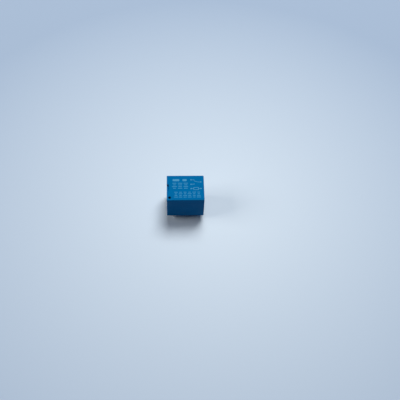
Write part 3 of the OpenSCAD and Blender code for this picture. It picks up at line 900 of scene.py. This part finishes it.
class RELAY_OT_print(bpy.types.Operator):
    """Prints plain bars and a wiring diagram of a change-over relay on the roof"""

    bl_idname = "relay.print"
    bl_label = "Print"

    def execute(self, context):
        ink = context.scene.relay_print
        case = context.scene.relay_case
        bold = ink_finish("roof_ink", case, ink.colour)
        fine = ink_finish("roof_fine_ink", case, ink.fine_colour)
        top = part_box("cover")[1].z
        sink = 2 * MICRON
        under = top - ink.thickness - sink
        blocks = {
            "print_heading": {
                "Columns": 2, "Rows": 1, "Column pitch": 4.4 * MM, "Row pitch": 1 * MM, "Bar": 4.0 * MM,
                "Height": 1.25 * MM, "Place": (-2.6 * MM, 4.7 * MM, under),
            },
            "print_lines": {
                "Columns": 3, "Rows": 4, "Column pitch": 2.9 * MM, "Row pitch": 1.05 * MM, "Bar": 2.6 * MM,
                "Height": 0.45 * MM, "Place": (-2.7 * MM, 1.2 * MM, under),
            },
            "print_table": {
                "Columns": 6, "Rows": 4, "Column pitch": 2.3 * MM, "Row pitch": 1.0 * MM, "Bar": 2.1 * MM,
                "Height": 0.42 * MM, "Place": (0.9 * MM, -4.3 * MM, under),
            },
        }
        tree = bars_tree()
        for order, (name, sizes) in enumerate(blocks.items()):
            finish = bold if name == "print_heading" else fine
            common = {"Thickness": ink.thickness + sink, "Seed": ink.seed + order, "Material": finish}
            settle(grow(name, tree, {**sizes, **common}), finish, "frame", "case_plastic")
        bm = bmesh.new()
        self.diagram(bm, ink, under, top)
        settle(new_piece("print_diagram", closed_up(bm)), bold, "frame", "case_plastic")
        return {"FINISHED"}

    def diagram(self, bm, ink, low, high):
        """Coil, change-over contact and five terminals, in lines of one width."""
        left, right = 2.9 * MM, 7.9 * MM
        coil_y, common_y, closed_y, open_y = -0.6 * MM, 3.5 * MM, 4.9 * MM, 2.1 * MM
        coil_low, coil_high = Vector((4.2 * MM, coil_y - 0.7 * MM)), Vector((6.6 * MM, coil_y + 0.7 * MM))
        pivot = Vector((6.5 * MM, common_y))
        contact_x = 4.5 * MM
        tick = 0.5 * MM
        half = ink.line / 2
        dots = [(left, coil_y), (right, coil_y), (right, common_y), (left, closed_y), (left, open_y)]
        for dot in dots:
            pad(bm, circle(ink.dot, DOT_POINTS, dot), low, high)
        lines = [
            [(left + ink.dot, coil_y), (coil_low.x - half, coil_y)],
            [(coil_high.x + half, coil_y), (right - ink.dot, coil_y)],
            [(right - ink.dot, common_y), pivot, (contact_x, closed_y - tick - ink.line)],
            [(left + ink.dot, closed_y), (contact_x, closed_y), (contact_x, closed_y - tick)],
            [(left + ink.dot, open_y), (contact_x, open_y), (contact_x, open_y + tick)],
        ]
        for points in lines:
            pad(bm, self.ribbon([Vector(point) for point in points], half), low, high)
        self.frame_line(bm, coil_low, coil_high, half, low, high)

    def ribbon(self, points, half):
        """Outline of a line of even width through some points, mitred at its corners."""
        left, right = [], []
        for index, point in enumerate(points):
            before = (point - points[index - 1]).normalized() if index else None
            after = (points[index + 1] - point).normalized() if index + 1 < len(points) else None
            ways = [way for way in (before, after) if way]
            along = sum(ways, Vector((0, 0))).normalized()
            side = Vector((-along.y, along.x)) * half / along.dot(ways[0])
            left.append(point + side)
            right.append(point - side)
        return right + left[::-1]

    def frame_line(self, bm, low_corner, high_corner, half, low, high):
        """Adds a rectangle's outline as a flat frame."""
        rows = []
        for offset, z in ((-half, low), (half, low), (half, high), (-half, high)):
            grow_by = Vector((offset, offset))
            first, last = low_corner - grow_by, high_corner + grow_by
            corners = ((first.x, first.y), (last.x, first.y), (last.x, last.y), (first.x, last.y))
            rows.append([bm.verts.new((x, y, z)) for x, y in corners])
        for row, following in zip(rows, rows[1:] + rows[:1]):
            band(bm, row, following)


class RELAY_OT_seal(bpy.types.Operator):
    """Casts the resin under the base, drawn along the walls and the pins"""

    bl_idname = "relay.seal"
    bl_label = "Seal"

    def execute(self, context):
        seal = context.scene.relay_seal
        low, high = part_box("seal")
        pins = self.pins(seal, low.z)
        piece = new_piece("seal_resin", closed_up(self.slab(seal, low, high, pins)))
        holes = bmesh.new()
        reach = high.z - low.z
        for centre, half in pins:
            box_prism(holes, Vector((*centre, low.z)), (*half, 2 * reach))
        combine(piece, holes)
        shade(piece.data, SMOOTH_LARGE)
        settle(piece, resin_finish(seal), "frame", "seal_resin", "seal")
        return {"FINISHED"}

    def pins(self, seal, level):
        """Centre and half size of each pin where it passes through the resin."""
        found = [(middle(node).xy, Vector((seal.stem, seal.stem))) for node in COIL_PINS]
        for node in TERMINALS:
            low, high = span([point.xy for point in points_of(node) if point.z < level])
            found.append(((low + high) / 2, (high - low) / 2))
        return found

    def slab(self, seal, low, high, pins):
        """Slab with a rippled lower face that creeps down at walls and pins."""
        bm = bmesh.new()
        half = (high - low).xy / 2
        counts = [round(2 * side / seal.cell) for side in half]
        rows = []
        for along in range(counts[0] + 1):
            row = []
            for across in range(counts[1] + 1):
                x = half.x * (2 * along / counts[0] - 1)
                y = half.y * (2 * across / counts[1] - 1)
                place = self.in_outline(Vector((x, y)), half, seal.corner)
                row.append(bm.verts.new((*place, low.z + self.height(place, half, seal, pins))))
            rows.append(row)
        for row, following in zip(rows, rows[1:]):
            for index in range(len(row) - 1):
                bm.faces.new((row[index], row[index + 1], following[index + 1], following[index]))
        border = rows[0][:-1] + [row[-1] for row in rows[:-1]]
        border += rows[-1][:0:-1] + [row[0] for row in rows[:0:-1]]
        upper = [bm.verts.new((vert.co.x, vert.co.y, high.z)) for vert in border]
        band(bm, upper, border)
        bm.faces.new(upper)
        return bm

    def in_outline(self, place, half, corner):
        """Place pulled in to the round corners of the outline."""
        centre = Vector((math.copysign(half.x - corner, place.x), math.copysign(half.y - corner, place.y)))
        past = place - centre
        outside = past.x * place.x > 0 and past.y * place.y > 0 and past.length > corner
        return centre + past.normalized() * corner if outside else place

    def height(self, place, half, seal, pins):
        """Height of the resin's lower face above its level: below it near walls and pins."""
        wall = min(half.x - abs(place.x), half.y - abs(place.y))
        creep = math.exp(-wall / seal.reach)
        for centre, size in pins:
            gap_x = max(abs(place.x - centre.x) - size.x, 0)
            gap_y = max(abs(place.y - centre.y) - size.y, 0)
            creep = max(creep, math.exp(-math.hypot(gap_x, gap_y) / seal.reach))
        wave = noise.noise(Vector((place.x, place.y, 0)) / seal.wave)
        return seal.ripple * wave - seal.creep * creep


class RELAY_OT_pins(bpy.types.Operator):
    """Finishes the coil pins and the stamped terminals"""

    bl_idname = "relay.pins"
    bl_label = "Pins and terminals"

    def execute(self, context):
        metal = context.scene.relay_metal
        tinned = metal_finish(
            "tinned_pin", metal.tin, tarnish=0.6, roughness=0.28, stretch=(1, 1, 10), stained=0.5
        )
        stamped = terminal_finish(metal, tin_line=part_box("base")[0].z)
        for node in COIL_PINS:
            dress(node, tinned, metal.edge_break)
        for node in TERMINALS:
            dress(node, stamped, metal.edge_break)
        return {"FINISHED"}


class RELAY_OT_mouldings(bpy.types.Operator):
    """Finishes the base and the bobbin"""

    bl_idname = "relay.mouldings"
    bl_label = "Base and bobbin"

    def execute(self, context):
        coil = context.scene.relay_coil
        case = context.scene.relay_case
        base = moulded_finish("base_plastic", coil.base, coil.base_speck, roughness=0.48)
        bobbin = moulded_finish("bobbin_plastic", coil.bobbin, coil.bobbin_speck, roughness=0.42)
        dress("base", base, case.edge_break)
        dress("bobbin", bobbin, case.edge_break)
        return {"FINISHED"}


class RELAY_OT_winding(bpy.types.Operator):
    """Winds the coil and brings its wire ends to the soldered pins"""

    bl_idname = "relay.winding"
    bl_label = "Winding"

    def execute(self, context):
        coil = context.scene.relay_coil
        copper = wire_finish(coil)
        half = half_size("winding")
        pitch = coil.wire + coil.wire_gap
        sizes = {
            "Radius": half.x, "Bore": self.bore(), "Height": 2 * half.z, "Wire": coil.wire,
            "Turns": (2 * half.z - coil.wire) / pitch, "Turn points": coil.turn_points,
            "Place": middle("winding"), "Material": copper,
        }
        turns = grow("winding_turns", winding_tree(), sizes)
        shade(turns.data)
        settle(turns, copper, "frame", "copper_wire", "winding")
        tree = wire_tree()
        for side in ("front", "rear"):
            node = "coil_lead_" + side
            bm = bmesh.new()
            points = [bm.verts.new(point) for point in self.route(node, "coil_pin_" + side, coil)]
            for point, following in zip(points, points[1:]):
                bm.edges.new((point, following))
            values = {"Diameter": coil.wire, "Material": copper}
            end = grow("wire_end_" + side, tree, values, plain_mesh(bm, node))
            shade(end.data)
            settle(end, copper, "frame", "copper_wire", node)
        self.solder(context.scene.relay_metal)
        return {"FINISHED"}

    def bore(self):
        """Radius of the winding's bore, from its mesh."""
        centre = middle("winding").xy
        return min((point.xy - centre).length for point in points_of("winding"))

    def route(self, node, pin, coil):
        """Points of a wire end: straight from the winding to the pin, then turns up its stem."""
        low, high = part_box(node)
        stem = middle(pin).xy
        centre = middle("winding").xy
        side = math.copysign(1, stem.y)
        wire_radius = coil.wire / 2
        turn_radius = max(abs(low.y), abs(high.y)) - abs(stem.y) - wire_radius
        wind_radius = half_size("winding").x + coil.fit + wire_radius
        apart = stem - centre
        lean = math.atan2(side * apart.y, apart.x) + math.acos((wind_radius - turn_radius) / apart.length)
        out = Vector((math.cos(lean), side * math.sin(lean)))
        level = low.z + wire_radius
        start = centre + wind_radius * out
        points = [Vector((*start, level)), Vector((*(stem + turn_radius * out), level))]
        for step in range(1, (coil.lead_turns - 1) * LOOP_POINTS + 1):
            turn = lean - 2 * math.pi * step / LOOP_POINTS
            place = stem + turn_radius * Vector((math.cos(turn), side * math.sin(turn)))
            points.append(Vector((*place, level + coil.wire * step / LOOP_POINTS)))
        return points

    def solder(self, metal):
        """Solder fillets at the tops of the two stems."""
        low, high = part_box("solder_joints")
        stem = middle("coil_pin_rear")
        wide = (high.x - low.x) / 2
        rise = high.z - low.z
        shares = [math.sin(bend) for bend in quarter_turn(BEAD_STEPS)[1:]]
        bead = [(wide * share, low.z + rise * math.sqrt(1 - share**4)) for share in reversed(shares)]
        bm = lathe(bead, BEAD_POINTS)
        bmesh.ops.translate(bm, verts=bm.verts, vec=(stem.x, 0, 0))
        shiny = metal_finish("solder", metal.solder, tarnish=0.55, roughness=0.2)
        values = {"Spacing": 2 * stem.y, "Material": shiny}
        piece = grow("solder_beads", pair_tree(), values, plain_mesh(closed_up(bm), "solder_bead"))
        shade(piece.data)
        settle(piece, shiny, "frame", "solder", "solder_joints")


class RELAY_OT_magnet(bpy.types.Operator):
    """Finishes the core, the yoke and the armature"""

    bl_idname = "relay.magnet"
    bl_label = "Magnet frame"

    def execute(self, context):
        metal = context.scene.relay_metal
        plated = metal_finish("plated_steel", metal.steel, tarnish=0.5, roughness=0.34, stretch=(8, 1, 1))
        iron = metal_finish("soft_iron", metal.iron, tarnish=0.45, roughness=0.4, stretch=(1, 1, 8))
        dress("core", iron, metal.edge_break)
        dress("yoke", plated, 2 * metal.edge_break)
        dress("armature", plated, 2 * metal.edge_break)
        return {"FINISHED"}


class RELAY_OT_rivets(bpy.types.Operator):
    """Sets domed rivets through the yoke and the armature"""

    bl_idname = "relay.rivets"
    bl_label = "Rivets"

    def execute(self, context):
        metal = context.scene.relay_metal
        brass = metal_finish("rivet_brass", metal.brass, tarnish=0.5, roughness=0.28)
        tree = pair_tree()
        yoke_rivets = grow("yoke_rivet_heads", tree, *self.through_yoke(metal, brass))
        armature_rivets = grow("armature_rivet_heads", tree, *self.through_armature(metal, brass))
        shade(yoke_rivets.data)
        shade(armature_rivets.data)
        settle(yoke_rivets, brass, "frame", "rivet_brass", "yoke_rivets")
        settle(armature_rivets, brass, "armature", "rivet_brass", "armature_rivets")
        return {"FINISHED"}

    def through_yoke(self, metal, brass):
        """Spacing and finish of the yoke's rivets, and one of them lying in its place, with two heads."""
        low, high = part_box("yoke_rivets")
        width = high.z - low.z
        near, far = metal.rivet_head, high.x - low.x - metal.rivet_head
        dome = self.dome(metal, width / 2)
        profile = [(radius, near - z) for radius, z in reversed(dome)]
        profile += [(metal.rivet_shank, near), (metal.rivet_shank, far)]
        profile += [(radius, far + z) for radius, z in dome]
        lying = Matrix.Rotation(math.pi / 2, 4, "Y")
        place = Matrix.Translation((low.x, 0, (low.z + high.z) / 2)) @ lying
        values = {"Spacing": high.y - low.y - width, "Material": brass}
        return values, self.turned(profile, place)

    def through_armature(self, metal, brass):
        """Spacing and finish of the armature's rivets, and one of them in its place, with one head."""
        tilted = Matrix.Translation(HINGE) @ Matrix.Rotation(LIFT, 4, "Y")
        level = tilted.inverted()
        low, high = span([level @ point for point in points_of("armature_rivets")])
        width = high.x - low.x
        top = high.z - metal.rivet_head
        profile = [(metal.rivet_shank, low.z), (metal.rivet_shank, top)]
        profile += [(radius, top + z) for radius, z in self.dome(metal, width / 2)]
        place = tilted @ Matrix.Translation(((low.x + high.x) / 2, 0, 0))
        values = {"Spacing": high.y - low.y - width, "Material": brass}
        return values, self.turned(profile, place)

    def dome(self, metal, radius):
        """Profile of a rivet's head, from its rim up to its top."""
        rise = metal.rivet_head
        rim = metal.rivet_rim * rise
        bends = quarter_turn(ARC_STEPS)[:-1]
        curve = [(radius * math.cos(bend), rim + (rise - rim) * math.sin(bend)) for bend in bends]
        return [(radius, 0)] + curve + [(metal.rivet_flat * radius, rise)]

    def turned(self, profile, place):
        """Mesh of one turned rivet in its place."""
        bm = lathe(profile)
        bmesh.ops.transform(bm, matrix=place, verts=bm.verts)
        return plain_mesh(closed_up(bm), "rivet")


class RELAY_OT_contacts(bpy.types.Operator):
    """Copies the leaf spring over the hinge with broken edges, and finishes the contacts"""

    bl_idname = "relay.contacts"
    bl_label = "Leaf and contacts"

    def execute(self, context):
        metal = context.scene.relay_metal
        bronze = metal_finish("spring_bronze", metal.bronze, tarnish=0.5, roughness=0.26, stretch=(12, 1, 1))
        silver = metal_finish("contact_silver", metal.silver, tarnish=0.4, roughness=0.3, stained=0.5)
        for node in CONTACTS:
            dress(node, silver, metal.edge_break)
        leaf = merged_copy("contact_spring", "contact_leaf")
        leaf.data.materials.append(bronze)
        soften(leaf, metal.edge_break)
        frozen(leaf)
        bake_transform(leaf)
        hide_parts("contact_spring")
        return {"FINISHED"}


class RELAY_OT_stage(bpy.types.Operator):
    """Sets the floor, the light and the camera"""

    bl_idname = "relay.stage"
    bl_label = "Stage"

    def execute(self, context):
        stage = context.scene.relay_stage
        context.scene.view_settings.view_transform = "Standard"
        self.floor(stage)
        self.surround(context.scene, stage)
        key = self.lamp("key_light", stage, stage.key_power, stage.key_elevation, stage.key_bearing)
        key.visible_glossy = False
        side = self.lamp("side_light", stage, stage.side_power, stage.side_elevation, stage.side_bearing)
        side.data.color = stage.fill
        context.scene.camera = self.camera(stage)
        return {"FINISHED"}

    def camera(self, stage):
        """Camera in its place, turned to the object."""
        lens = bpy.data.cameras.new("camera")
        lens.lens = stage.lens
        lens.clip_start = 1 * MM
        camera = linked("camera", lens)
        turn = Matrix.Rotation(-stage.heading, 4, "Z")
        tilt = Matrix.Rotation(math.pi / 2 - stage.pitch, 4, "X")
        roll = Matrix.Rotation(stage.roll, 4, "Z")
        camera.matrix_world = Matrix.Translation(stage.camera) @ turn @ tilt @ roll
        return camera

    def floor(self, stage):
        """Pale floor under the pins with a faint paper grain and a painted pool of light, palest by the
        object and darker away from it, clear from below.
        """
        bm = bmesh.new()
        bmesh.ops.create_grid(bm, x_segments=1, y_segments=1, size=stage.floor_size / 2)
        bmesh.ops.translate(bm, verts=bm.verts, vec=(0, 0, CAD_BOX[0].z))
        floor = new_piece("floor", bm)
        finish = Finish("floor")
        away = finish.vector("DISTANCE", finish.place, (stage.painted_light_spot, 0, 0))["Value"]
        pale = finish.mix(finish.between(away, 0.0, stage.falloff), stage.floor, stage.floor_painted_dim)
        held_back = finish.between(self.seen(finish.tree), 0.0, 1.0, 1 - stage.bounce, 0.0)
        finish.set(
            base_color=finish.mix(held_back, pale, (0, 0, 0)),
            roughness=finish.spread(finish.grain(3 * MM, 3.0), 0.75, 0.85),
            specular_ior_level=0.1,
            normal=finish.bump(finish.grain(0.8 * MM, 3.0), 8 * MICRON),
        )
        clear = add(finish.tree, "ShaderNodeBsdfTransparent").outputs[0]
        below = add(finish.tree, "ShaderNodeNewGeometry").outputs["Backfacing"]
        show_either(finish.tree, "Material Output", below, finish.shader.outputs[0], clear)
        floor.data.materials.append(finish.material)

    def seen(self, tree):
        """One where the camera sees a surface, directly or in metal or glass."""
        rays = add(tree, "ShaderNodeLightPath").outputs
        direct = math_node(tree, "MAXIMUM", rays["Is Camera Ray"], rays["Is Glossy Ray"])
        return math_node(tree, "MAXIMUM", direct, rays["Is Transmission Ray"])

    def surround(self, scene, stage):
        """Pale surround to look at, and a faint light from all sides."""
        world = bpy.data.worlds.new("surround")
        world.use_nodes = True
        tree = world.node_tree
        light = result(tree, "ShaderNodeBackground", {"Color": rgba(stage.shade), "Strength": stage.ambient})
        view = result(tree, "ShaderNodeBackground", {"Color": rgba(stage.sky)})
        show_either(tree, "World Output", self.seen(tree), light, view)
        scene.world = world

    def lamp(self, name, stage, power, elevation, bearing):
        """Square soft lamp that looks at the object."""
        lamp = bpy.data.lights.new(name, "AREA")
        lamp.energy = power
        lamp.size = stage.lamp_size
        flat = math.cos(elevation)
        way = Vector((flat * math.cos(bearing), flat * math.sin(bearing), math.sin(elevation)))
        target = Vector((0, 0, (CAD_BOX[0].z + CAD_BOX[1].z) / 2))
        place = Matrix.Translation(target + stage.lamp_distance * way)
        piece = linked(name, lamp)
        piece.matrix_world = place @ way.to_track_quat("Z", "Y").to_matrix().to_4x4()
        return piece


class RELAY_PT_panel(bpy.types.Panel):
    """Lists the relay's settings and the steps that build it"""

    bl_idname = "RELAY_PT_panel"
    bl_label = "Power relay"
    bl_space_type = "VIEW_3D"
    bl_region_type = "UI"
    bl_category = "Relay"

    def draw(self, context):
        for attribute, group in SETTINGS.items():
            box = self.layout.box()
            box.label(text=group.__doc__)
            for key in group.__annotations__:
                box.prop(getattr(context.scene, attribute), key)
        for operator in OPERATORS:
            self.layout.operator(operator.bl_idname)


SETTINGS = {
    "relay_case": RelayCase,
    "relay_print": RelayPrint,
    "relay_seal": RelaySeal,
    "relay_metal": RelayMetal,
    "relay_coil": RelayCoil,
    "relay_stage": RelayStage,
}
OPERATORS = (
    RELAY_OT_stage,
    RELAY_OT_case,
    RELAY_OT_print,
    RELAY_OT_seal,
    RELAY_OT_pins,
    RELAY_OT_mouldings,
    RELAY_OT_winding,
    RELAY_OT_magnet,
    RELAY_OT_rivets,
    RELAY_OT_contacts,
)
CLASSES = (*SETTINGS.values(), *OPERATORS, RELAY_PT_panel)


def register():
    """Adds the classes and the scene's settings."""
    for item in CLASSES:
        bpy.utils.register_class(item)
    for attribute, group in SETTINGS.items():
        setattr(bpy.types.Scene, attribute, PointerProperty(type=group))


def unregister():
    """Removes the settings and the classes."""
    for attribute in SETTINGS:
        delattr(bpy.types.Scene, attribute)
    for item in reversed(CLASSES):
        bpy.utils.unregister_class(item)


def main():
    """Registers the add-on and builds the relay."""
    register()
    for operator in OPERATORS:
        group, name = operator.bl_idname.split(".")
        getattr(getattr(bpy.ops, group), name)()


if __name__ == "__main__":
    main()
